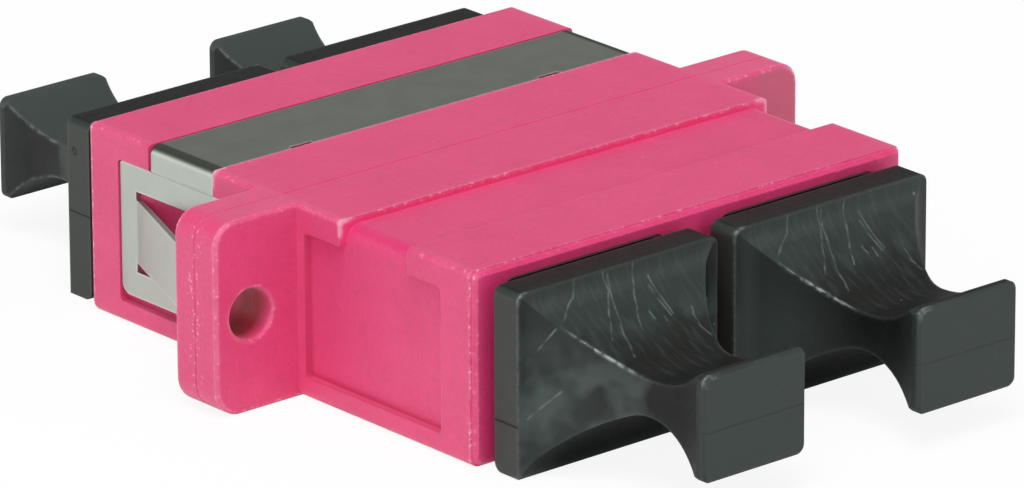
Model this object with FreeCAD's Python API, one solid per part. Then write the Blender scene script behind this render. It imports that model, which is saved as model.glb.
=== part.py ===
import FreeCAD, Part
import math
import os
from FreeCAD import Placement, Rotation, Vector

# SC duplex fibre adapter: two pink housing halves welded at the middle of the flange, a sheet-steel
# panel clip on the rear half, four latch holders, two split sleeves and four soft dust caps.
# Millimetres. X runs along the flange, Y is the optical axis with the front at -Y, Z is up.
# The origin is at the weld plane, midway between the two ports, on the surface it stands on.

# Ports: the pitch and the opening are those of every duplex SC adapter
port_pitch = 12.7
port_width = 9.1
port_height = 7.5
port_corner_radius = 0.4
port_mouth_chamfer = 0.2
key_slot_width = 2.3
key_slot_depth = 0.45
key_slot_length = 4.3

# Housing walls round the ports
side_wall = 1.9
roof_wall = 0.85
body_half_depth = 13.65
body_top_edge_radius = 0.22
body_bottom_edge_radius = 0.5
rim_step = 0.08
rim_length = 0.3
rim_chamfer = 0.16

# Flange and its screw holes
flange_half_thickness = 1.45
flange_top_corner_radius = 1.1
flange_bottom_corner_radius = 1.4
flange_edge_chamfer = 0.12
weld_seam_chamfer = 0.05
screw_hole_radius = 1.2
screw_hole_chamfer = 0.12
body_to_screw_hole = 2.65
screw_hole_to_flange_end = 2.05

# Tongues on the front half and sockets in the rear half that line the two up for welding
tongue_width = 0.7
tongue_height = 1.4
tongue_length = 0.8
tongue_inset = 0.15
tongue_rise = 2.6
tongue_clearance = 0.05

# Pockets for the clip's side plates and the groove for its strap, in both halves
pocket_to_flange = 0.55
pocket_to_port_face = 2.25
pocket_to_body_top = 1.23
pocket_to_body_bottom = 1.1
pocket_corner_radius = 0.25
groove_to_port_face = 4.5
groove_width = 4.65
groove_top_depth = 0.3
groove_side_depth = 0.35
groove_corner_radius = 0.75

# Panel clip
clip_thickness = 0.25
clip_seat_clearance = 0.02
clip_side_clearance = 0.08
clip_fold_radius = 0.2
clip_plate_margin = 0.05
clip_plate_drop = 0.4
clip_plate_top_radius = 0.2
clip_plate_bottom_radius = 0.6
clip_crease_width = 0.08
clip_crease_depth = 0.02
strap_notch_width = 1.25
strap_notch_depth = 0.22
strap_notch_spacing = 14.9
tab_rail_height = 1.25
tab_hinge_margin = 1.15
tab_tip_margin = 1.0
tab_slit = 0.42
tab_angle = 21.7
tab_bend_radius = 0.4
tab_corner_radius = 0.5

# Latch holders and split sleeves
seat_side_step = 0.5
seat_roof_step = 0.2
seat_depth = 1.1
seat_clearance = 0.05
sleeve_radius = 1.6
sleeve_bore_radius = 1.25
sleeve_clearance = 0.1
sleeve_end_clearance = 0.1
sleeve_slit = 0.5
barrel_wall = 0.5
barrel_length = 6.3
barrel_lip = 0.45
barrel_mouth_radius = 1.35
barrel_mouth_flare = 0.2
arm_thickness = 0.6
arm_height = 3.2
arm_to_port_wall = 0.5
arm_to_port_face = 4.25
hook_to_cap_nose = 0.4
hook_land = 0.4
hook_catch = 0.25
hook_ramp = 0.7

# Dust caps: block, neck and grip plate
cap_gap = 1.0
cap_below_body_top = 0.5
cap_floor_clearance = 0.06
cap_block_depth = 1.6
cap_standoff = 0.66
cap_back_edge_radius = 0.45
cap_crown_radius = 0.45
cap_root_radius = 1.585
cap_root_turn = 45
cap_sweep_radius = 9.57
cap_neck_radius = 3.08
cap_neck_turn = 22
cap_flare_length = 3.7
cap_grip_width = 6.0
cap_grip_above_axis = 2.08
cap_grip_below_axis = 2.92
cap_grip_thickness = 0.5
cap_grip_corner_radius = 0.45
cap_grip_edge_chamfer = 0.14

# Dust caps: what goes into the port
cap_port_clearance = 0.15
cap_plug_to_latch = 0.65
cap_stop_overhang = 0.7
cap_nose_wall = 0.4
cap_barrel_clearance = 0.2
cap_nose_overlap = 2.1
cap_bore_spare = 0.85

# Sizes and places that follow from the ones above
body_width = port_pitch + port_width + 2 * side_wall
body_height = port_height + 2 * roof_wall
axis_height = body_height / 2
screw_hole_spacing = body_width + 2 * body_to_screw_hole
flange_width = screw_hole_spacing + 2 * screw_hole_to_flange_end
pocket_near = flange_half_thickness + pocket_to_flange
pocket_far = body_half_depth - pocket_to_port_face
pocket_low = pocket_to_body_bottom
pocket_high = body_height - pocket_to_body_top
groove_far = body_half_depth - groove_to_port_face
groove_near = groove_far - groove_width
plate_near = pocket_near + clip_plate_margin
plate_far = pocket_far - clip_plate_margin
plate_low = pocket_low + clip_plate_drop
plate_high = pocket_high - clip_plate_margin
clip_inside = body_width / 2 - groove_side_depth + clip_seat_clearance
clip_top_inside = body_height - groove_top_depth + clip_seat_clearance
barrel_chamber_radius = sleeve_radius + sleeve_clearance
barrel_radius = barrel_chamber_radius + barrel_wall
nose_bore_radius = barrel_radius + cap_barrel_clearance
nose_radius = nose_bore_radius + cap_nose_wall
cap_block_width = port_pitch - cap_gap
cap_block_back = body_half_depth + cap_standoff
cap_block_face = cap_block_back + cap_block_depth
port_places = {"left": -port_pitch / 2, "right": port_pitch / 2}
half_turn = Placement(Vector(0, 0, 0), Rotation(Vector(0, 0, 1), 180))


def box(x_low, x_high, y_low, y_high, z_low, z_high):
    """A plain block between two corners."""
    corner = Vector(x_low, y_low, z_low)
    return Part.makeBox(x_high - x_low, y_high - y_low, z_high - z_low, corner)


def rounded_outline(width, height, top_radius, bottom_radius, y, x_centre=0.0, z_centre=axis_height):
    """A rectangle across the optical axis with rounded corners, as a face at distance y."""
    corners = (
        (x_centre - width / 2, z_centre - height / 2, bottom_radius, 180),
        (x_centre + width / 2, z_centre - height / 2, bottom_radius, 270),
        (x_centre + width / 2, z_centre + height / 2, top_radius, 0),
        (x_centre - width / 2, z_centre + height / 2, top_radius, 90),
    )
    runs = []
    for x, z, radius, start in corners:
        inward_x = radius if x < x_centre else -radius
        inward_z = radius if z < z_centre else -radius
        points = []
        for turn in (0, 45, 90):
            angle = math.radians(start + turn)
            across = x + inward_x + radius * math.cos(angle)
            up = z + inward_z + radius * math.sin(angle)
            points.append(Vector(across, y, up))
        runs.append(points)
    edges = []
    for index, points in enumerate(runs):
        following = runs[(index + 1) % len(runs)]
        edges.append(Part.Arc(*points).toShape())
        edges.append(Part.LineSegment(points[2], following[0]).toShape())
    return Part.Face(Part.Wire(edges))


def along_axis(face, distance):
    """Extrude a face along the optical axis."""
    return face.extrude(Vector(0, distance, 0))


def edges_at_y(solid, y):
    """The edges of a solid that lie in the plane at distance y."""
    found = []
    for edge in solid.Edges:
        box_of_edge = edge.BoundBox
        if abs(box_of_edge.YMin - y) < 1e-4 and abs(box_of_edge.YMax - y) < 1e-4:
            found.append(edge)
    return found


def flange_half():
    """Half of the flange, with the seam's small bevel on the weld plane and broken outer edges."""
    outline = rounded_outline(
        flange_width,
        body_height,
        flange_top_corner_radius,
        flange_bottom_corner_radius,
        -flange_half_thickness,
    )
    plate = along_axis(outline, flange_half_thickness)
    plate = plate.makeChamfer(weld_seam_chamfer, edges_at_y(plate, 0))
    return plate.makeChamfer(flange_edge_chamfer, edges_at_y(plate, -flange_half_thickness))


def body_block():
    """The box of one half from its port face to inside the flange, before it is hollowed."""
    radii = (body_top_edge_radius, body_bottom_edge_radius)
    outline = rounded_outline(body_width, body_height, *radii, rim_length - body_half_depth)
    block = along_axis(outline, body_half_depth - rim_length - flange_half_thickness / 2)
    rim_outline = rounded_outline(
        body_width - 2 * rim_step, body_height - 2 * rim_step, *radii, -body_half_depth
    )
    rim = along_axis(rim_outline, 2 * rim_length)
    rim = rim.makeChamfer(rim_chamfer, edges_at_y(rim, -body_half_depth))
    return block.fuse(rim)


def port_cavity(x_centre):
    """One port: straight bore, lead-in at the mouth, key slot in its floor and the holder's seat."""
    bore = along_axis(
        rounded_outline(
            port_width, port_height, port_corner_radius, port_corner_radius, -body_half_depth, x_centre
        ),
        body_half_depth,
    )
    mouth = rounded_outline(
        port_width + 2 * port_mouth_chamfer,
        port_height + 2 * port_mouth_chamfer,
        port_corner_radius + port_mouth_chamfer,
        port_corner_radius + port_mouth_chamfer,
        -body_half_depth,
        x_centre,
    )
    throat = rounded_outline(
        port_width,
        port_height,
        port_corner_radius,
        port_corner_radius,
        port_mouth_chamfer - body_half_depth,
        x_centre,
    )
    lead_in = Part.makeLoft([mouth.OuterWire, throat.OuterWire], True, True)
    key_slot = box(
        x_centre - key_slot_width / 2,
        x_centre + key_slot_width / 2,
        -body_half_depth,
        key_slot_length - body_half_depth,
        axis_height - port_height / 2 - key_slot_depth,
        axis_height,
    )
    seat = holder_plate(0).translate(Vector(x_centre, 0, 0))
    return bore.fuse([lead_in, key_slot, seat])


def holder_plate(clearance):
    """The plate of a front latch holder, or with no clearance the seat that takes it."""
    half_width = port_width / 2 + seat_side_step - clearance
    half_height = port_height / 2 + seat_roof_step - clearance
    low = axis_height - half_height
    high = axis_height + half_height
    return box(-half_width, half_width, clearance - seat_depth, 0, low, high)


def strap_groove():
    """The shallow channel for the clip's strap, over the top and down to both side pockets."""
    ring = box(
        -body_width,
        body_width,
        -groove_far,
        -groove_near,
        axis_height,
        2 * body_height,
    )
    core_width = body_width - 2 * groove_side_depth
    core_top = body_height - groove_top_depth
    core = along_axis(
        rounded_outline(
            core_width,
            core_top,
            groove_corner_radius,
            groove_corner_radius,
            -body_half_depth,
            0.0,
            core_top / 2,
        ),
        body_half_depth,
    )
    return ring.cut(core)


def side_pocket(side):
    """The flat recess in one side wall that a side plate of the clip lies in."""
    floor = side * (body_width / 2 - groove_side_depth)
    outside = side * body_width
    pocket = box(
        min(floor, outside),
        max(floor, outside),
        -pocket_far,
        -pocket_near,
        pocket_low,
        pocket_high,
    )
    corners = []
    for edge in pocket.Edges:
        if edge.BoundBox.XLength > groove_side_depth:
            corners.append(edge)
    return pocket.makeFillet(pocket_corner_radius, corners)


def screw_hole(side):
    """A screw hole through one end of this flange half, with its mouth broken."""
    x = side * screw_hole_spacing / 2
    along = Vector(0, 1, 0)
    start = Vector(x, -flange_half_thickness, axis_height)
    hole = Part.makeCylinder(screw_hole_radius, flange_half_thickness, start, along)
    mouth = Part.makeCone(
        screw_hole_radius + screw_hole_chamfer, screw_hole_radius, screw_hole_chamfer, start, along
    )
    return hole.fuse(mouth)


def weld_tongues(y_low, y_high, clearance):
    """Four short tongues through the weld plane, two in each side wall."""
    half_width = tongue_width / 2 + clearance
    half_height = tongue_height / 2 + clearance
    tongues = []
    for side in (-1, 1):
        x = side * (body_width / 2 - tongue_inset - tongue_width / 2)
        for z in (axis_height - tongue_rise, axis_height + tongue_rise):
            tongues.append(
                box(x - half_width, x + half_width, y_low, y_high, z - half_height, z + half_height)
            )
    return tongues


def housing_half():
    """One pink moulding, drawn as the front half: thin walls round two ports and half the flange."""
    shell = body_block().fuse(flange_half())
    hollows = [port_cavity(x) for x in port_places.values()]
    hollows.append(strap_groove())
    for side in (-1, 1):
        hollows.append(side_pocket(side))
        hollows.append(screw_hole(side))
    return shell.cut(hollows).removeSplitter()


def front_housing():
    """The front half, with the four tongues that enter the rear half."""
    tongues = weld_tongues(-flange_half_thickness / 2, tongue_length, 0)
    return housing_half().fuse(tongues).removeSplitter()


def rear_housing():
    """The rear half: the same moulding turned round, with sockets for the tongues."""
    half = housing_half()
    half.Placement = half_turn
    sockets = weld_tongues(0, tongue_length + tongue_clearance, tongue_clearance)
    return half.cut(sockets)


def clip_strap():
    """The strap of the clip, folded over the top and part of the way down both sides."""
    near = groove_near + clip_side_clearance
    depth = groove_width - 2 * clip_side_clearance
    fold = clip_fold_radius
    bands = []
    for layer in (clip_thickness, 0):
        top = clip_top_inside + layer
        outline = rounded_outline(
            2 * (clip_inside + layer), top, fold + layer, fold + layer, near, 0.0, top / 2
        )
        bands.append(along_axis(outline, depth))
    below = box(-body_width, body_width, 0, body_half_depth, -body_height, axis_height)
    return bands[0].cut([bands[1], below] + strap_notches(near))


def strap_notches(near):
    """The two short notches in the strap's edge beside the flange."""
    notches = []
    for side in (-1, 1):
        middle = side * strap_notch_spacing / 2
        notches.append(
            box(
                middle - strap_notch_width / 2,
                middle + strap_notch_width / 2,
                near,
                near + strap_notch_depth,
                axis_height,
                2 * body_height,
            )
        )
    return notches


def clip_side_plate(side):
    """One side plate of the clip, lying in its pocket, before the tab is cut out of it."""
    x_low = clip_inside if side > 0 else -clip_inside - clip_thickness
    plate = box(x_low, x_low + clip_thickness, plate_near, plate_far, plate_low, plate_high)
    for height, radius in ((plate_low, clip_plate_bottom_radius), (plate_high, clip_plate_top_radius)):
        corners = []
        for edge in plate.Edges:
            across_sheet = edge.BoundBox.XLength > clip_thickness / 2
            if across_sheet and abs(edge.BoundBox.ZMin - height) < 1e-4:
                corners.append(edge)
        plate = plate.makeFillet(radius, corners)
    return plate


def clip_crease(side):
    """The shallow line pressed across the root of the strap, level with a side plate's top."""
    outside = side * (clip_inside + clip_thickness)
    floor = outside - side * clip_crease_depth
    return box(
        min(floor, outside),
        max(floor, outside),
        groove_near + clip_side_clearance,
        groove_far - clip_side_clearance,
        plate_high - clip_crease_width / 2,
        plate_high + clip_crease_width / 2,
    )


def tab_window(side):
    """The cut round a tab on its three free sides, through one side plate."""
    x_inner = side * (clip_inside - clip_thickness)
    x_outer = side * (clip_inside + 2 * clip_thickness)
    return box(
        min(x_inner, x_outer),
        max(x_inner, x_outer),
        plate_near + tab_tip_margin,
        plate_far - tab_hinge_margin,
        plate_low + tab_rail_height,
        plate_high - tab_rail_height,
    )


def spring_tab(side):
    """The sprung tab: bent outwards at its root, then straight, towards the flange."""
    hinge = plate_far - tab_hinge_margin
    tip = plate_near + tab_tip_margin
    length = (hinge - tip) / math.cos(math.radians(tab_angle))
    low = plate_low + tab_rail_height + tab_slit
    high = plate_high - tab_rail_height - tab_slit
    x_low = clip_inside if side > 0 else -clip_inside - clip_thickness
    x_high = x_low + clip_thickness
    corners = [
        Vector(x_low, hinge, low),
        Vector(x_high, hinge, low),
        Vector(x_high, hinge, high),
        Vector(x_low, hinge, high),
    ]
    root = Part.Face(Part.makePolygon(corners + corners[:1]))
    bend_centre = Vector(side * (clip_inside + clip_thickness + tab_bend_radius), hinge, 0)
    bend_axis = Vector(0, 0, -side)
    bend = root.revolve(bend_centre, bend_axis, -tab_angle)
    leaf = root.extrude(Vector(0, -length, 0))
    tip_edges = []
    for edge in leaf.Edges:
        is_tip = abs(edge.BoundBox.YMax - (hinge - length)) < 1e-4
        if is_tip and edge.BoundBox.XLength > clip_thickness / 2:
            tip_edges.append(edge)
    leaf = leaf.makeFillet(tab_corner_radius, tip_edges)
    leaf.rotate(bend_centre, bend_axis, -tab_angle)
    return bend.fuse(leaf)


def panel_clip():
    """The whole clip: one strip of spring steel with two side plates and two tabs."""
    clip = clip_strap()
    for side in (-1, 1):
        clip = clip.fuse(clip_side_plate(side))
    cuts = []
    for side in (-1, 1):
        cuts.extend((tab_window(side), clip_crease(side)))
    clip = clip.cut(cuts)
    return clip.fuse([spring_tab(side) for side in (-1, 1)]).removeSplitter()


def latch_arm(side):
    """One latch arm of a front holder, with its hook turned in over the barrel."""
    outside = side * (port_width / 2 - arm_to_port_wall)
    inside = outside - side * arm_thickness
    hook = side * (nose_radius + hook_to_cap_nose)
    root = seat_clearance - seat_depth
    tip = arm_to_port_face - body_half_depth
    land_end = tip + hook_ramp
    land_start = land_end + hook_land
    catch = land_start + hook_catch
    outline = (
        (inside, root),
        (outside, root),
        (outside, tip),
        ((inside + outside) / 2, tip),
        (hook, land_end),
        (hook, land_start),
        (inside, catch),
        (inside, root),
    )
    points = [Vector(x, y, axis_height - arm_height / 2) for x, y in outline]
    return Part.Face(Part.makePolygon(points)).extrude(Vector(0, 0, arm_height))


def revolved(profile):
    """Turn a list of (radius, distance from the weld plane) round the port's axis, frontwards."""
    points = [Vector(radius, -distance, axis_height) for radius, distance in profile]
    face = Part.Face(Part.makePolygon(points + points[:1]))
    return face.revolve(Vector(0, 0, axis_height), Vector(0, 1, 0), 360)


def latch_holder():
    """A latch holder at the middle of a front port: plate, barrel round the sleeve and two arms."""
    barrel = revolved(
        ((0, 0), (barrel_radius, 0), (barrel_radius, barrel_length), (0, barrel_length))
    )
    lip_start = barrel_length - barrel_lip
    bore = revolved(
        (
            (0, 0),
            (barrel_chamber_radius, 0),
            (barrel_chamber_radius, lip_start),
            (barrel_mouth_radius, lip_start),
            (barrel_mouth_radius + barrel_mouth_flare, barrel_length),
            (0, barrel_length),
        )
    )
    solid = holder_plate(seat_clearance).fuse([barrel, latch_arm(-1), latch_arm(1)])
    return solid.cut(bore).removeSplitter()


def split_sleeve():
    """A slit alignment sleeve, held between the lips of a front and a rear barrel."""
    half_length = barrel_length - barrel_lip - sleeve_end_clearance
    start = Vector(0, -half_length, axis_height)
    along = Vector(0, 1, 0)
    tube = Part.makeCylinder(sleeve_radius, 2 * half_length, start, along)
    bore = Part.makeCylinder(sleeve_bore_radius, 2 * half_length, start, along)
    slit = box(
        -sleeve_slit / 2,
        sleeve_slit / 2,
        -half_length,
        half_length,
        axis_height,
        axis_height + 2 * sleeve_radius,
    )
    return tube.cut([bore, slit])


def sweep_arcs():
    """The three tangent arcs of a cap's side, as (radius, direction at start, direction at end)."""
    return (
        (cap_root_radius, 90, cap_root_turn),
        (cap_sweep_radius, cap_root_turn, cap_neck_turn),
        (cap_neck_radius, cap_neck_turn, 0),
    )


def sweep_reach():
    """How far the neck stands in front of the block, and how far in from its sides."""
    reach = 0
    depth = 0
    for radius, start, end in sweep_arcs():
        reach += radius * (math.sin(math.radians(start)) - math.sin(math.radians(end)))
        depth += radius * (math.cos(math.radians(end)) - math.cos(math.radians(start)))
    return reach, depth


def cap_side(block, grip, sign):
    """One side of a cap's outline, from the back of the block to the grip plate, as edges."""
    place = cap_block_face
    offset = block
    edges = [
        Part.LineSegment(
            Vector(cap_block_back, sign * block, 0), Vector(cap_block_face, sign * block, 0)
        ).toShape()
    ]
    for radius, start, end in sweep_arcs():
        points = []
        for direction in (start, (start + end) / 2, end):
            ahead = radius * (math.sin(math.radians(start)) - math.sin(math.radians(direction)))
            inward = radius * (math.cos(math.radians(direction)) - math.cos(math.radians(start)))
            points.append(Vector(place + ahead, sign * (offset - inward), 0))
        edges.append(Part.Arc(*points).toShape())
        place = points[-1].x
        offset = sign * points[-1].y
    rise = grip - offset
    flare_turn = 2 * math.atan(rise / cap_flare_length)
    flare_radius = cap_flare_length / math.sin(flare_turn)
    points = []
    for turn in (0, flare_turn / 2, flare_turn):
        ahead = flare_radius * math.sin(turn)
        outward = flare_radius * (1 - math.cos(turn))
        points.append(Vector(place + ahead, sign * (offset + outward), 0))
    edges.append(Part.Arc(*points).toShape())
    tip = Vector(cap_grip_face(), sign * grip, 0)
    edges.append(Part.LineSegment(points[2], tip).toShape())
    return edges


def cap_grip_face():
    """How far the face of the grip plate is from the weld plane."""
    return cap_block_face + sweep_reach()[0] + cap_flare_length + cap_grip_thickness


def cap_outline(upper, lower):
    """The outline of a cap outside its port; distance along X, its two sides along Y."""
    edges = cap_side(*upper, 1) + cap_side(*lower, -1)
    for place, upper_end, lower_end in (
        (cap_block_back, upper[0], lower[0]),
        (cap_grip_face(), upper[1], lower[1]),
    ):
        edges.append(
            Part.LineSegment(Vector(place, upper_end, 0), Vector(place, -lower_end, 0)).toShape()
        )
    return Part.Face(Part.Wire(Part.__sortEdges__(edges)))


def cap_corners():
    """What rounds the corners of a cap: a bar round its block and neck, and one round its grip."""
    neck = cap_block_face + sweep_reach()[0]
    block_top = body_height - cap_below_body_top
    crown = rounded_outline(
        cap_block_width,
        2 * body_height,
        cap_crown_radius,
        cap_crown_radius,
        -cap_block_back,
        0.0,
        block_top - body_height,
    )
    grip = rounded_outline(
        cap_grip_width,
        cap_grip_above_axis + cap_grip_below_axis,
        cap_grip_corner_radius,
        cap_grip_corner_radius,
        -neck,
        0.0,
        axis_height + (cap_grip_above_axis - cap_grip_below_axis) / 2,
    )
    grip_bar = along_axis(grip, neck - cap_grip_face())
    grip_bar = grip_bar.makeChamfer(cap_grip_edge_chamfer, edges_at_y(grip_bar, -cap_grip_face()))
    return along_axis(crown, cap_block_back - neck).fuse(grip_bar)


def cap_grip():
    """The block, hourglass neck and grip plate of a cap: two swept outlines crossed at right angles."""
    side_view = cap_outline(
        (axis_height - cap_below_body_top, cap_grip_above_axis),
        (axis_height - cap_floor_clearance, cap_grip_below_axis),
    )
    half = (cap_block_width / 2, cap_grip_width / 2)
    top_view = cap_outline(half, half)
    side_view.rotate(Vector(0, 0, 0), Vector(0, 0, 1), -90)
    side_view.rotate(Vector(0, 0, 0), Vector(0, 1, 0), -90)
    side_view.translate(Vector(-cap_block_width, 0, axis_height))
    tall = side_view.extrude(Vector(2 * cap_block_width, 0, 0))
    top_view.rotate(Vector(0, 0, 0), Vector(0, 0, 1), -90)
    wide = top_view.extrude(Vector(0, 0, 2 * body_height))
    flare = tall.common(wide)
    back_edges = []
    for edge in edges_at_y(flare, -cap_block_back):
        if edge.BoundBox.ZMax < axis_height:
            back_edges.append(edge)
    flare = flare.makeFillet(cap_back_edge_radius, back_edges)
    return flare.common(cap_corners())


def cap_plug():
    """The part of a cap inside the port: stop ribs, rectangular plug and a nose over the barrel."""
    plug_width = port_width - 2 * cap_port_clearance
    plug_height = port_height - 2 * cap_port_clearance
    plug_depth = arm_to_port_face - cap_plug_to_latch
    plug = box(
        -plug_width / 2,
        plug_width / 2,
        -cap_block_back,
        plug_depth - body_half_depth,
        axis_height - plug_height / 2,
        axis_height + plug_height / 2,
    )
    corners = [edge for edge in plug.Edges if edge.BoundBox.YLength > plug_depth]
    plug = plug.makeChamfer(port_corner_radius, corners)
    stop = box(
        -port_width / 2 - cap_stop_overhang,
        port_width / 2 + cap_stop_overhang,
        -cap_block_back,
        -body_half_depth,
        axis_height - plug_height / 2,
        axis_height + plug_height / 2,
    )
    tip = barrel_length - cap_nose_overlap
    bore_end = body_half_depth - plug_depth + cap_bore_spare
    nose = revolved(((0, tip), (nose_radius, tip), (nose_radius, bore_end), (0, bore_end)))
    bore = revolved(
        ((0, tip), (nose_bore_radius, tip), (nose_bore_radius, bore_end), (0, bore_end))
    )
    return plug.fuse([stop, nose]).cut(bore)


def dust_cap():
    """A soft moulded dust cap, drawn at the middle of the front."""
    return cap_grip().fuse(cap_plug()).removeSplitter()


def placed(shape, x, turned):
    """A copy of a piece drawn at the middle of the front, moved to its own port."""
    copy = shape.copy()
    if turned:
        copy.Placement = half_turn.multiply(copy.Placement)
    copy.translate(Vector(x, 0, 0))
    return copy


def all_nodes():
    """Every piece of the adapter by its node's name."""
    nodes = {
        "front_housing": front_housing(),
        "rear_housing": rear_housing(),
        "panel_clip": panel_clip(),
    }
    holder = latch_holder()
    cap = dust_cap()
    sleeve = split_sleeve()
    for side, x in port_places.items():
        nodes[side + "_split_sleeve"] = placed(sleeve, x, False)
        for end in ("front", "rear"):
            nodes[end + "_" + side + "_latch_holder"] = placed(holder, x, end == "rear")
            nodes[end + "_" + side + "_dust_cap"] = placed(cap, x, end == "rear")
    return nodes


os.makedirs("parts", exist_ok=True)
for name, shape in all_nodes().items():
    shape.exportStep("parts/" + name + ".step")
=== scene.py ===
import math
import bmesh
import bpy
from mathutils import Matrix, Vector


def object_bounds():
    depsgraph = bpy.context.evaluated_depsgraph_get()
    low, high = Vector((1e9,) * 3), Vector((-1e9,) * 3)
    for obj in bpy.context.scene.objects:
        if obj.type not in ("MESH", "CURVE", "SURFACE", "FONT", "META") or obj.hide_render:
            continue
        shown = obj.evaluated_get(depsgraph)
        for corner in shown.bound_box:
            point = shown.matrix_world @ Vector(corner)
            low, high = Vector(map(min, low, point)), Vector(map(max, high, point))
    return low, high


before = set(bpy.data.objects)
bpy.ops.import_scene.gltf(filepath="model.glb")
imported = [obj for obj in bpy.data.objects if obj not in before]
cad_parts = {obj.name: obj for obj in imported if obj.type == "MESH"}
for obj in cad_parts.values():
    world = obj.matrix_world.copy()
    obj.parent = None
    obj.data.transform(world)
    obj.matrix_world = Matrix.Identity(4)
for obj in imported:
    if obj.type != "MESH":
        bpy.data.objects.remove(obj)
cad_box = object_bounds()


# Housing halves
# Two thin-walled mouldings of glass-filled PBT in a strong pink, spark-eroded matt all over and
# welded together at the middle of the flange. Handling has whitened their outside edges a little.
MM = 0.001
axis_height = (cad_box[1].z + cad_box[0].z) / 2 / MM
body_side = 12.8
body_top = 9.2
flange_end = 17.5
seam_half_width = 0.15
groove_near, groove_far = 4.5, 9.15
pocket_near, pocket_far = 2.0, 11.4
pocket_low, pocket_high = 1.1, 7.97
screw_hole_x = 15.45
screw_hole_radius = 1.2


def linear(code):
    """An sRGB colour such as #D8386C as linear red, green, blue and alpha."""
    channels = [int(code[place : place + 2], 16) / 255 for place in (1, 3, 5)]
    return [c / 12.92 if c <= 0.04045 else ((c + 0.055) / 1.055) ** 2.4 for c in channels] + [1.0]


def add_node(tree, kind, inputs, **settings):
    """Adds a node. Its inputs are values, outputs, or nodes whose first output feeds them."""
    node = tree.nodes.new("ShaderNode" + kind)
    for name, value in settings.items():
        setattr(node, name, value)
    for socket, value in inputs.items():
        source = value.outputs[0] if isinstance(value, bpy.types.Node) else value
        if isinstance(source, bpy.types.NodeSocket):
            tree.links.new(source, node.inputs[socket])
        else:
            node.inputs[socket].default_value = source
    return node


def new_material(name):
    """A material, its tree, which holds no shader yet, and a point in the object's own axes."""
    material = bpy.data.materials.new(name)
    material.use_nodes = True
    tree = material.node_tree
    tree.nodes.clear()
    return material, tree, add_node(tree, "TexCoord", {}).outputs["Object"]


def in_mm(tree, place):
    """The X, Y and Z of a point, in millimetres."""
    scaled = add_node(tree, "VectorMath", {0: place, "Scale": 1 / MM}, operation="SCALE")
    return add_node(tree, "SeparateXYZ", {0: scaled}).outputs


def facing(tree):
    """The X, Y and Z of the way that the surface faces."""
    geometry = add_node(tree, "NewGeometry", {})
    return add_node(tree, "SeparateXYZ", {0: geometry.outputs["Normal"]}).outputs


def apart(tree, value, other=0.0):
    """How far a number is from another, without a sign."""
    gap = add_node(tree, "Math", {0: value, 1: other}, operation="SUBTRACT")
    return add_node(tree, "Math", {0: gap}, operation="ABSOLUTE")


def where(tree, *limits, strength=1.0):
    """A mask that has its strength only where every limit is passed.

    A limit is another mask, or a number with the values at which it gives nothing and all.
    """
    mask = strength
    for limit in limits:
        value, nothing, full = limit if isinstance(limit, tuple) else (limit, 0.0, 1.0)
        sockets = {"Value": value, "From Min": nothing, "From Max": full, "To Max": mask}
        mask = add_node(tree, "MapRange", sockets)
    return mask


def between(value, low, high, fade):
    """The two limits of a number that has to lie from low to high, fading out past them."""
    return (value, low - fade, low + fade), (value, high + fade, high - fade)


def patches(tree, place, size, nothing, full, strength=1.0, detail=3.0):
    """A mask of uneven patches about that many millimetres across."""
    scale = 1 / (size * MM)
    noise = add_node(tree, "TexNoise", {"Vector": place, "Scale": scale, "Detail": detail})
    return where(tree, (noise, nothing, full), strength=strength)


def specks(tree, place, spacing, size, strength):
    """A mask of scattered round specks, about that far apart and that large, in millimetres."""
    cells = add_node(tree, "TexVoronoi", {"Vector": place, "Scale": 1 / (spacing * MM)}).outputs
    chosen = add_node(tree, "SeparateColor", {0: cells["Color"]})
    reach = size / spacing / 2
    inside = (cells["Distance"], reach, reach * 0.6)
    return where(tree, inside, (chosen, 0.5, 0.6), strength=strength)


def outside_edges(tree, width):
    """A mask of the outside edges, about that many millimetres wide."""
    depth = add_node(
        tree,
        "AmbientOcclusion",
        {"Distance": width * MM},
        samples=8,
        inside=True,
        only_local=True,
    )
    return where(tree, (depth.outputs["AO"], 0.9, 0.6))


def layered(tree, colour, *layers):
    """A colour with others laid over it, each by its own mask."""
    for mask, code in layers:
        # The Mix node has a factor, A and B for each kind of value: 6, 7 and output 2 are colour's
        sockets = {0: mask, 6: colour, 7: linear(code)}
        colour = add_node(tree, "Mix", sockets, data_type="RGBA").outputs[2]
    return colour


def surface_relief(tree, height, strength, depth, rounding):
    """The surface's own direction, with a height drawn on it and sharp edges softened, in mm."""
    softened = add_node(tree, "Bevel", {"Radius": rounding * MM}, samples=4)
    sockets = {"Strength": strength, "Distance": depth * MM, "Height": height}
    return add_node(tree, "Bump", sockets | {"Normal": softened})


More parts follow.
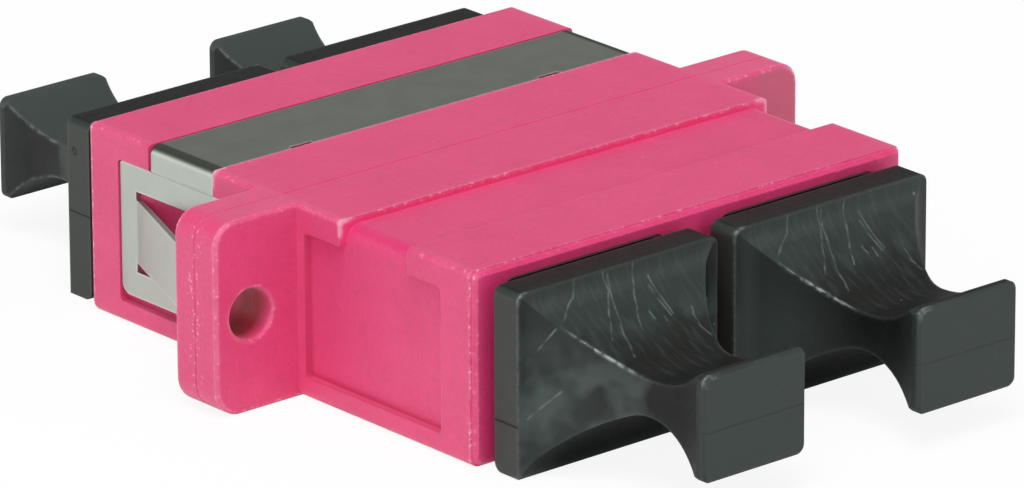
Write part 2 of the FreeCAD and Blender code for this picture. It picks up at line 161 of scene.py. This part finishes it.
def moulded_pbt():
    """Moulded PBT: matt and evenly coloured, dusty at a low angle, with paler rubbed edges."""
    material, tree, place = new_material("moulded_pbt_pink")
    at = in_mm(tree, place)
    along = apart(tree, at["Y"])
    across = apart(tree, at["X"])
    height = at["Z"]
    facing_front = (facing(tree)["Y"], -0.8, -0.95)
    from_near_step = apart(tree, along, groove_near)

    # The edges that hands and packing reach: not those of the pockets, the seam and the far step
    in_pocket = where(
        tree,
        *between(along, pocket_near - 0.3, pocket_far + 0.9, 0.15),
        *between(height, pocket_low - 0.4, pocket_high + 0.43, 0.15),
        (apart(tree, across, body_side), 0.95, 0.65),
    )
    edges = where(
        tree,
        outside_edges(tree, 0.3),
        (in_pocket, 1.0, 0.0),
        (apart(tree, along, groove_far), 0.3, 0.6),
        (along, seam_half_width, seam_half_width + 0.2),
    )
    rubbed = where(tree, edges, patches(tree, place, 0.4, 0.38, 0.62))
    nicked = where(tree, rubbed, patches(tree, place, 0.2, 0.6, 0.68, detail=1.0))
    on_side = (across, body_side - 0.9, body_side - 0.3)
    on_flange_end = (across, flange_end - 1.1, flange_end - 0.7)
    right_ear_painted_shade = (at["X"], body_side + 0.6, body_side + 2.6)
    on_step_corner = (
        (from_near_step, 0.55, 0.25),
        (across, body_side - 0.8, body_side - 0.4),
        (height, body_top - 1.2, body_top - 0.6),
    )

    # Painted shade along the lines inside the near and lower edges of the pockets
    pocket_wall = (across, body_side - 0.8, body_side - 0.5)
    upright_crease_painted_shade = where(
        tree,
        (along, pocket_near - 0.06, pocket_near + 0.02),
        (along, pocket_near + 0.22, pocket_near + 0.08),
        (height, pocket_low - 0.05, pocket_low + 0.1),
        (height, pocket_high + 0.05, pocket_high - 0.1),
        pocket_wall,
        strength=0.4,
    )
    level_crease_painted_shade = where(
        tree,
        (height, pocket_low - 0.06, pocket_low + 0.02),
        (height, pocket_low + 0.28, pocket_low + 0.1),
        (along, pocket_near - 0.05, pocket_near + 0.1),
        (along, pocket_far + 0.05, pocket_far - 0.1),
        pocket_wall,
        strength=0.4,
    )

    # The screw holes, painted deep red inside as painted shade, and the burnt specks beside the
    # weld seam on the flange's ends
    beside_hole = add_node(tree, "Math", {0: across, 1: screw_hole_x}, operation="SUBTRACT")
    above_hole = add_node(tree, "Math", {0: height, 1: axis_height}, operation="SUBTRACT")
    from_hole = add_node(tree, "CombineXYZ", {0: beside_hole, 1: above_hole})
    from_hole = add_node(tree, "VectorMath", {0: from_hole}, operation="LENGTH").outputs["Value"]
    in_hole_painted_shade = (from_hole, screw_hole_radius + 0.04, screw_hole_radius)
    burnt = where(
        tree,
        patches(tree, place, 0.2, 0.62, 0.72, detail=1.0),
        (along, 0.6, 0.3),
        (across, flange_end - 0.9, flange_end - 0.3),
        strength=0.6,
    )
    base = layered(
        tree,
        linear("#DB206B"),
        # Uneven moulding and dust
        (patches(tree, place, 2.6, 0.35, 0.65, detail=2.0), "#E02871"),
        (patches(tree, place, 0.15, 0.5, 0.8, 0.14), "#F37FA8"),
        (patches(tree, place, 0.45, 0.52, 0.7, 0.3), "#C22A62"),
        # Painted shade on the front of the right ear and deep red inside the holes, a faint painted
        # sheen on the hazy sides, and painted bounce light on the bright step of the groove
        (where(tree, right_ear_painted_shade, facing_front, strength=0.8), "#C2456A"),
        (where(tree, (across, body_side - 0.6, body_side - 0.3), strength=0.03), "#FFF0F4"),
        (where(tree, in_hole_painted_shade, (along, 1.2, 0.5), strength=0.95), "#A6001C"),
        (where(tree, (from_near_step, 0.3, 0.15), facing_front, strength=0.6), "#F52C78"),
        # Painted shade in the pockets' creases, then whitened edges and nicks, and specks
        (upright_crease_painted_shade, "#B81048"),
        (level_crease_painted_shade, "#B81048"),
        (where(tree, edges, strength=0.15), "#F48DB0"),
        (where(tree, rubbed, strength=0.25), "#F48DB0"),
        (where(tree, rubbed, on_side, strength=0.4), "#F48DB0"),
        (where(tree, edges, on_flange_end, strength=0.45), "#FBB4CA"),
        (where(tree, edges, *on_step_corner, strength=0.7), "#FBB4CA"),
        (where(tree, nicked, strength=0.45), "#FFDCE5"),
        (where(tree, nicked, on_side, strength=0.7), "#FFDCE5"),
        (burnt, "#F9A9C1"),
        (specks(tree, place, 1.9, 0.15, 0.45), "#F9A9C1"),
    )

    # The grain of spark erosion is 0.03 mm and finer: drawn at 0.16 mm so that it shows
    grain_scale = 1 / (0.16 * MM)
    grain = add_node(tree, "TexNoise", {"Vector": place, "Scale": grain_scale, "Detail": 3.0})
    spread = {"From Min": 0.3, "From Max": 0.7, "To Min": 0.46, "To Max": 0.54}
    shader = add_node(
        tree,
        "BsdfPrincipled",
        {
            "Base Color": base,
            "Roughness": add_node(tree, "MapRange", {"Value": grain} | spread),
            "IOR": 1.55,
            "Sheen Weight": 0.4,
            "Sheen Roughness": 0.4,
            "Normal": surface_relief(tree, grain, strength=0.3, depth=0.03, rounding=0.06),
        },
    )
    add_node(tree, "OutputMaterial", {"Surface": shader})
    return material


pink = moulded_pbt()
for name in ("front_housing", "rear_housing"):
    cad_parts[name].material_slots[0].material = pink


# Latch holders
# Four small mouldings of the same PBT at the middle of the ports, each a seat plate with a barrel
# and two latch arms. Only their arms can be seen, with a cap pulled out.
for end in ("front", "rear"):
    for side in ("left", "right"):
        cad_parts[end + "_" + side + "_latch_holder"].material_slots[0].material = pink


# Split sleeves
# Two slit tubes of phosphor bronze, ground smooth. Each is held in a pair of barrels, where the
# ferrules of two plugs meet.
def ground_bronze():
    """Phosphor bronze: a warm brown metal with fine rings left by grinding."""
    material, tree, place = new_material("ground_phosphor_bronze")
    rings = add_node(tree, "Mapping", {"Vector": place, "Scale": (0.05, 1.0, 0.05)})
    lines = patches(tree, rings, 0.08, 0.3, 0.7, detail=2.0)
    roughness = add_node(tree, "MapRange", {"Value": lines, "To Min": 0.22, "To Max": 0.36})
    shader = add_node(
        tree,
        "BsdfPrincipled",
        {
            "Base Color": layered(tree, linear("#B98A54"), (lines, "#C99B63")),
            "Roughness": roughness,
            "Metallic": 1.0,
        },
    )
    add_node(tree, "OutputMaterial", {"Surface": shader})
    return material


bronze = ground_bronze()
for side in ("left", "right"):
    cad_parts[side + "_split_sleeve"].material_slots[0].material = bronze


# Panel clip
# One blank of cold-rolled spring steel, stamped and folded over the rear half, so that its grain
# runs along the strap and up the side plates.
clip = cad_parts["panel_clip"]
clip_top = max(corner[2] for corner in clip.bound_box) / MM
clip_half_width = 12.72


def rolled_steel():
    """Cold-rolled spring steel: satin, duller on the strap, whose top is painted darker as a
    painted dim reflection, and a painted dark reflection along the folds.
    """
    material, tree, place = new_material("cold_rolled_spring_steel")
    at = in_mm(tree, place)
    rolling = add_node(tree, "Mapping", {"Vector": place, "Scale": (0.08, 1.0, 0.08)})
    streaks = patches(tree, rolling, 0.09, 0.3, 0.7)
    # The strap's upward faces: duller, and painted darker as a painted dim reflection
    strap = where(tree, (facing(tree)["Z"], 0.8, 0.97))
    # Along the outside of the folds: a painted dark reflection
    from_fold = apart(tree, apart(tree, at["X"]), clip_half_width - 0.37)
    fold_painted_dark = ((from_fold, 0.34, 0.18), (at["Z"], clip_top - 0.42, clip_top - 0.3))
    base = layered(
        tree,
        linear("#B9BEB5"),
        (streaks, "#BDC2B9"),
        (strap, "#9CA197"),
        (patches(tree, place, 1.8, 0.4, 0.7, 0.3, detail=2.0), "#B1B7AE"),
        (where(tree, outside_edges(tree, 0.15), strength=0.5), "#E6E6E0"),
        (where(tree, *fold_painted_dark, strength=0.9), "#5C5E58"),
    )
    roughness = add_node(tree, "MapRange", {"Value": streaks, "To Min": 0.32, "To Max": 0.38})
    roughness = add_node(tree, "MapRange", {"Value": strap, "To Min": roughness, "To Max": 0.5})
    shader = add_node(
        tree,
        "BsdfPrincipled",
        {
            "Base Color": base,
            "Roughness": roughness,
            "Metallic": 1.0,
            "Normal": surface_relief(tree, streaks, strength=0.05, depth=0.01, rounding=0.05),
        },
    )
    add_node(tree, "OutputMaterial", {"Surface": shader})
    return material


clip.material_slots[0].material = rolled_steel()


# Dust caps
# Four caps of soft black PVC from one mould, pushed into the ports. The tool's polishing marks
# show as fine pale lines on the concave faces, and the ridges have whitened where they flex.
port_pitch = 12.7
cap_block_face = 15.91
cap_block_half_width = 5.85
cap_block_top = 4.1
cap_neck_end = 5.0
grip_back = 8.5
left_parting_line = -2.1
right_parting_line = -0.42
grip_line = -0.55
gate_mark = (15.38, 2.56)
gate_radius = 0.14

# Pale lines on the upper face: across from the cap's middle, and down from the block's top edge
upper_lines = (
    ((-2.57, 0.0), (-2.87, 1.0), (-3.97, 2.25)),
    ((-0.89, 0.0), (-0.87, 1.2), (-1.49, 2.75), (-2.2, 4.5)),
    ((-0.63, 0.3), (-0.96, 2.3), (-1.6, 5.2), (-1.8, 6.1)),
    ((0.78, 0.0), (0.56, 1.3), (-0.42, 4.4)),
    ((1.48, 1.0), (1.64, 3.9)),
    ((1.3, 1.6), (1.46, 4.0)),
    ((0.61, 3.3), (0.67, 3.9)),
    ((1.12, 3.6), (1.07, 4.3)),
    ((2.81, 3.8), (2.5, 5.3), (2.64, 6.2)),
)

# Scratches on the side faces: up from the axis, and in from the block's side edge
side_lines = (
    ((2.41, 2.33), (1.29, 1.05)),
    ((-0.51, 2.66), (-1.76, 0.58)),
)


def line_mask(tree, chart, lines, half_width):
    """A mask of thin lines drawn on a flat chart, each from point to point."""
    mask = 0.0
    for line in lines:
        for start, end in zip(line, line[1:]):
            run = (end[0] - start[0], end[1] - start[1], 0.0)
            square = run[0] ** 2 + run[1] ** 2
            along = (run[0] / square, run[1] / square, 0.0)
            start = (*start, 0.0)
            offset = add_node(tree, "VectorMath", {0: chart, 1: start}, operation="SUBTRACT")
            share = add_node(tree, "VectorMath", {0: offset, 1: along}, operation="DOT_PRODUCT")
            held = add_node(tree, "Clamp", {"Value": share.outputs["Value"]})
            foot = add_node(tree, "VectorMath", {0: run, "Scale": held}, operation="SCALE")
            gap = add_node(tree, "VectorMath", {0: offset, 1: foot}, operation="DISTANCE")
            near = where(tree, (gap.outputs["Value"], half_width, half_width * 0.3))
            mask = add_node(tree, "Math", {0: mask, 1: near}, operation="MAXIMUM")
    return mask


def soft_pvc():
    """Soft black PVC: a dull sheen, a fine skin, pale tool marks and whitened ridges."""
    material, tree, place = new_material("soft_moulded_pvc_black")

    # A point in its own cap's axes: across, out from the block's face, and up from the port's axis
    at = in_mm(tree, place)
    side = add_node(tree, "Math", {0: at["X"]}, operation="SIGN")
    end = add_node(tree, "Math", {0: at["Y"]}, operation="SIGN")
    middle = add_node(tree, "Math", {0: side, 1: port_pitch / 2}, operation="MULTIPLY")
    from_middle = add_node(tree, "Math", {0: at["X"], 1: middle}, operation="SUBTRACT")
    turned = add_node(tree, "Math", {0: from_middle, 1: end}, operation="MULTIPLY")
    across = add_node(tree, "Math", {0: turned, 1: -1.0}, operation="MULTIPLY")
    out = add_node(tree, "Math", {0: apart(tree, at["Y"]), 1: cap_block_face}, operation="SUBTRACT")
    up = add_node(tree, "Math", {0: at["Z"], 1: axis_height}, operation="SUBTRACT")

    # The faces of a cap, and which of the four caps and which side of it a point is on
    facings = facing(tree)
    sideways = apart(tree, facings["X"])
    upright = facings["Z"]
    past_block = (out, -0.02, 0.0)
    on_upper_face = ((upright, 0.02, 0.06), past_block)
    before_grip = (out, cap_neck_end + 0.2, cap_neck_end)
    on_side_face = where(tree, (sideways, 0.02, 0.06), (upright, 0.02, 0.0), past_block)
    on_block_side = ((sideways, 0.9, 0.95), (out, 0.02, -0.02))
    on_rear_cap = (end, 0.0, 1.0)
    on_left_cap = (at["X"], 1.0, -1.0)
    on_left_half = (from_middle, 0.5, -0.5)

    # Two flat charts, of the upper face and of a side face, with the marks that are drawn on them
    waver_scale = 1 / (1.1 * MM)
    waver = add_node(tree, "TexNoise", {"Vector": place, "Scale": waver_scale, "Detail": 1.0})
    spread = {"From Min": 0.3, "From Max": 0.7, "To Min": -0.06, "To Max": 0.06}
    waver = add_node(tree, "MapRange", {"Value": waver} | spread)
    chart_across = add_node(tree, "Math", {0: across, 1: waver}, operation="ADD")
    lowered = add_node(tree, "Math", {0: out, 1: up}, operation="SUBTRACT")
    chart_down = add_node(tree, "Math", {0: lowered, 1: cap_block_top}, operation="ADD")
    narrowed = add_node(tree, "Math", {0: out, 1: apart(tree, across)}, operation="SUBTRACT")
    chart_in = add_node(tree, "Math", {0: narrowed, 1: cap_block_half_width}, operation="ADD")
    upper_chart = add_node(tree, "CombineXYZ", {0: chart_across, 1: chart_down})
    side_chart = add_node(tree, "CombineXYZ", {0: up, 1: chart_in})
    uneven = (patches(tree, place, 0.5, 0.35, 0.65), -0.1, 1.0)
    marks = line_mask(tree, upper_chart, upper_lines, 0.075)
    marks = where(tree, marks, *on_upper_face, uneven, before_grip, strength=0.3)
    scratches = line_mask(tree, side_chart, side_lines, 0.08)
    scratches = where(
        tree, scratches, on_side_face, uneven, on_left_cap, before_grip, strength=0.42
    )
    streaks = add_node(tree, "Mapping", {"Vector": upper_chart, "Scale": (3.5, 0.4, 1.0)})
    streaks = add_node(tree, "TexNoise", {"Vector": streaks, "Scale": 1.0, "Detail": 3.0})
    streaks = where(tree, (streaks, 0.5, 0.62), *on_upper_face, before_grip, strength=0.12)

    # The grey of the PVC; the neck, the undersides and the level tops keep the near black as
    # painted shade
    grey_beside_painted_shade = where(
        tree,
        (apart(tree, out, 5.4), 1.9, 3.9),
        (upright, -0.25, 0.05),
        (upright, 0.98, 0.85),
    )
    browned = where(tree, grey_beside_painted_shade, patches(tree, place, 0.45, 0.54, 0.7, 0.3, detail=2.0))
    darkened = where(
        tree,
        patches(tree, place, 1.5, 0.42, 0.6, detail=2.0),
        *on_upper_face,
        (out, 0.4, 2.0),
        strength=0.6,
    )
    # Painted shade on the lower part of the side faces
    painted_low_side_shade = where(tree, on_side_face, before_grip, (up, -0.6, 1.8), strength=0.4)
    bloomed = where(
        tree,
        patches(tree, place, 2.0, 0.42, 0.6, detail=2.0),
        on_side_face,
        before_grip,
        (up, 2.6, 0.2),
        on_left_cap,
        strength=0.55,
    )

    # Whitened ridges and corners, broken up along their length
    edges = outside_edges(tree, 0.24)
    broken = (patches(tree, place, 0.3, 0.4, 0.58, detail=2.0), -0.1, 1.0)
    ridge = where(
        tree, edges, broken, on_left_half, (out, 0.9, 2.2), (out, 4.4, 2.9), (up, -0.5, 0.5)
    )
    rear_ridge = where(
        tree,
        edges,
        broken,
        on_left_half,
        (apart(tree, out, 6.75), 1.7, 1.4),
        on_rear_cap,
        strength=0.3,
    )
    grip_corner = where(
        tree,
        edges,
        broken,
        (out, grip_back - 0.1, grip_back + 0.3),
        (up, 1.4, 1.8),
        (across, -2.0, -2.4),
    )
    block_edge = where(tree, edges, broken, (apart(tree, out), 0.65, 0.35), (across, -5.1, -5.6))
    base = layered(
        tree,
        linear("#0D0F0E"),
        # The grey of the PVC beside painted shade, its brown and dark patches, painted shade low on
        # the side faces, a painted reflection on the block's sides, and the bloomed side faces
        (patches(tree, place, 0.9, 0.3, 0.7), "#161918"),
        (grey_beside_painted_shade, "#2B3532"),
        (browned, "#3E3431"),
        (darkened, "#181512"),
        (painted_low_side_shade, "#10120F"),
        # The block's sides painted lighter and warmer: a painted reflection
        (where(tree, *on_block_side, strength=0.3), "#4A4A42"),
        (bloomed, "#525E5B"),
        # The paler end of the grip, the rear caps' upper faces painted paler as a painted
        # reflection, and the tool marks over them
        (where(tree, (out, grip_back + 0.2, grip_back + 0.3), strength=0.14), "#4F5E59"),
        (where(tree, *on_upper_face, on_rear_cap, strength=0.5), "#4F5A57"),
        (streaks, "#55605D"),
        (marks, "#8E9995"),
        (scratches, "#8E9995"),
        # Whitened edges, and specks
        (where(tree, edges, strength=0.12), "#7A827F"),
        (ridge, "#B7C2BE"),
        (rear_ridge, "#9BA5A1"),
        (grip_corner, "#A9B5B1"),
        (where(tree, block_edge, strength=0.12), "#9BA49F"),
        (where(tree, block_edge, (up, 3.4, 4.0), strength=0.6), "#9BA49F"),
        (specks(tree, place, 2.3, 0.2, 0.35), "#8E9995"),
    )

    # Parting lines and the gate's mark on the block's sides, and a faint line across the grip
    on_left = (across, 0.5, -0.5)
    on_right = (across, -0.5, 0.5)
    flat_place = add_node(tree, "CombineXYZ", {0: out, 1: up})
    gate = (gate_mark[0] - cap_block_face, gate_mark[1], 0.0)
    from_gate = add_node(tree, "VectorMath", {0: flat_place, 1: gate}, operation="DISTANCE")
    from_ring = apart(tree, from_gate.outputs["Value"], gate_radius)
    cuts = (
        where(tree, (apart(tree, up, left_parting_line), 0.06, 0.02), on_left, *on_block_side),
        where(tree, (apart(tree, up, right_parting_line), 0.05, 0.02), on_right, *on_block_side),
        where(tree, (from_ring, 0.08, 0.03), on_right, *on_block_side),
        where(
            tree,
            (apart(tree, up, grip_line), 0.06, 0.02),
            (out, grip_back + 0.3, grip_back + 0.4),
            strength=0.4,
        ),
    )
    cut = 0.0
    for mask in cuts:
        cut = add_node(tree, "Math", {0: cut, 1: mask}, operation="MAXIMUM")
    base = layered(tree, base, (where(tree, cut, strength=0.7), "#080909"))

    # The skin's grain is finer than 0.05 mm: drawn at 0.2 mm so that it shows
    skin_scale = 1 / (0.2 * MM)
    skin = add_node(tree, "TexNoise", {"Vector": place, "Scale": skin_scale, "Detail": 3.0})
    relief = surface_relief(tree, skin, strength=0.15, depth=0.02, rounding=0.07)
    sockets = {"Distance": 0.06 * MM, "Height": cut, "Normal": relief}
    engraved = add_node(tree, "Bump", sockets, invert=True)
    spread = {"From Min": 0.3, "From Max": 0.7, "To Min": 0.4, "To Max": 0.5}
    shader = add_node(
        tree,
        "BsdfPrincipled",
        {
            "Base Color": base,
            "Roughness": add_node(tree, "MapRange", {"Value": skin} | spread),
            "IOR": 1.5,
            "Specular IOR Level": 0.32,
            "Normal": engraved,
        },
    )
    add_node(tree, "OutputMaterial", {"Surface": shader})
    return material


rubbery = soft_pvc()
for end in ("front", "rear"):
    for side in ("left", "right"):
        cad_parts[end + "_" + side + "_dust_cap"].material_slots[0].material = rubbery


# Camera
# It looks down on the front left corner from a little over 40 cm, through a long lens, as solved
# from the corners of the object in the photograph.
camera = bpy.data.objects.new("camera", bpy.data.cameras.new("camera"))
bpy.context.scene.collection.objects.link(camera)
camera.location = (-0.254205, -0.297525, 0.145145)
camera.rotation_euler = [math.radians(angle) for angle in (70.1472, 0.2383, -40.7227)]
camera.data.sensor_width = 36
camera.data.lens = 319.27
camera.data.clip_start = 0.02
camera.data.clip_end = 10
bpy.context.scene.camera = camera


# Floor and light
# A white sweep under soft lamps. The camera and the shiny parts see the floor as plain white with
# a trace of the object's shadow, and the object is lit by what the floor really sends back.
floor_half = 2000.0
footprint_half = (17.5, 24.9)
mirror_clearance = 6.0
camera_share = 0.89


def white_floor():
    """White paper, shown nearly at full white, but for its mirror image close to the object."""
    material, tree, place = new_material("white_paper")
    at = in_mm(tree, place)

    # How far a point of the floor lies outside the object's footprint
    past_side = apart(tree, at["X"])
    past_side = add_node(tree, "Math", {0: past_side, 1: footprint_half[0]}, operation="SUBTRACT")
    past_side = add_node(tree, "Math", {0: past_side, 1: 0.0}, operation="MAXIMUM")
    past_end = apart(tree, at["Y"])
    past_end = add_node(tree, "Math", {0: past_end, 1: footprint_half[1]}, operation="SUBTRACT")
    past_end = add_node(tree, "Math", {0: past_end, 1: 0.0}, operation="MAXIMUM")
    clearance = add_node(tree, "Math", {0: past_side, 1: past_end}, operation="ADD")

    ray = add_node(tree, "LightPath", {}).outputs
    sockets = {0: ray["Is Glossy Ray"], 1: ray["Is Transmission Ray"]}
    mirrored = add_node(tree, "Math", sockets, operation="MAXIMUM")
    mirrored = where(tree, (clearance, 0.0, mirror_clearance), mirrored)
    direct = where(tree, ray["Is Camera Ray"], strength=camera_share)
    seen = add_node(tree, "Math", {0: mirrored, 1: direct}, operation="MAXIMUM")
    paper = add_node(
        tree,
        "BsdfPrincipled",
        {"Base Color": linear("#FAFAFA"), "Roughness": 1.0, "Specular IOR Level": 0.0},
    )
    glow = add_node(tree, "Emission", {"Color": linear("#FFFFFF"), "Strength": 1.0})
    shown = add_node(tree, "MixShader", {0: seen, 1: paper, 2: glow})
    add_node(tree, "OutputMaterial", {"Surface": shown})
    return material


shape = bmesh.new()
bmesh.ops.create_grid(shape, x_segments=1, y_segments=1, size=floor_half * MM)
floor_mesh = bpy.data.meshes.new("floor")
shape.to_mesh(floor_mesh)
shape.free()
floor = bpy.data.objects.new("floor", floor_mesh)
bpy.context.scene.collection.objects.link(floor)
floor_mesh.materials.append(white_floor())

world = bpy.data.worlds.new("studio")
bpy.context.scene.world = world
world.use_nodes = True
world.node_tree.nodes["Background"].inputs["Color"].default_value = (0.27, 0.27, 0.27, 1.0)

lamp_distance = 600.0
lamp_size = 350.0


def soft_lamp(name, direction, power):
    """A square soft box that faces the object, with its power in watts."""
    lamp = bpy.data.lights.new(name, "AREA")
    lamp.size = lamp_size * MM
    lamp.energy = power
    holder = bpy.data.objects.new(name, lamp)
    bpy.context.scene.collection.objects.link(holder)
    length = math.sqrt(sum(part * part for part in direction))
    holder.location = [part / length * lamp_distance * MM for part in direction]
    holder.rotation_mode = "QUATERNION"
    holder.rotation_quaternion = holder.location.to_track_quat("Z", "Y")


soft_lamp("top_box", (-0.25, -0.2, 0.95), 2.35)
soft_lamp("left_box", (-0.75, -0.5, 0.45), 0.8)
soft_lamp("right_box", (0.5, -0.75, 0.45), 0.6)
soft_lamp("back_box", (-0.65, 0.72, 0.2), 0.45)

bpy.context.scene.view_settings.view_transform = "Standard"
